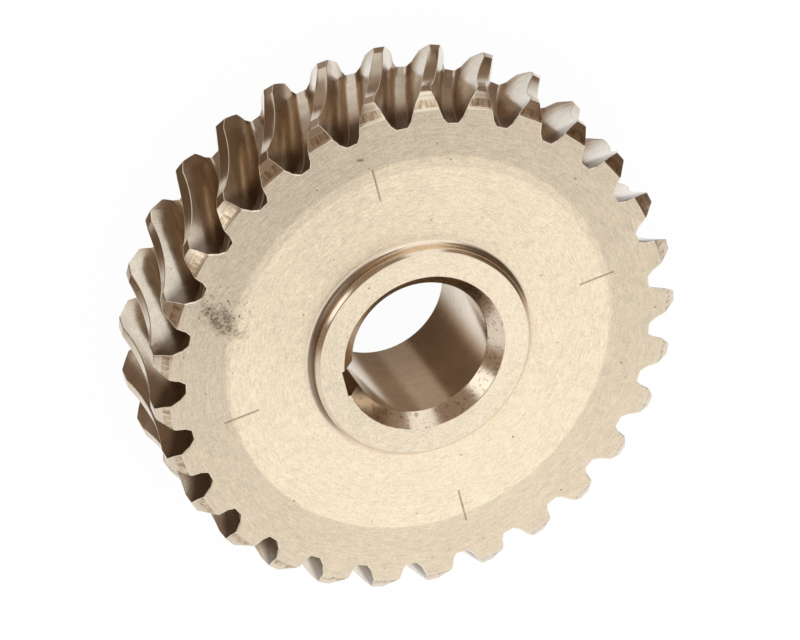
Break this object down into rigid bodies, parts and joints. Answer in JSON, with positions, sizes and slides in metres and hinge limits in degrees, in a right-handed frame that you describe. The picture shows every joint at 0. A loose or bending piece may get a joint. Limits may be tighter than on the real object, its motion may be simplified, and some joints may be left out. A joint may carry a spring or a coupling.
{
  "type": "worm gear",
  "caption": "Bronze worm wheel with hollow-throated helical teeth, a low hub boss, countersunk keyed bore and scribed index marks.",
  "frame": {"origin": "on the wheel's axis at the back face, on which it lies", "axes": "+Z along the bore towards the marked face and hub boss, +X through the keyway"},
  "size_m": [0.1228, 0.1229, 0.0338],
  "materials": {
    "bronze": "machined bronze, turned faces and hobbed teeth"
  },
  "bodies": {
    "root": {"worm_gear": "bronze"}
  },
  "joints": []
}
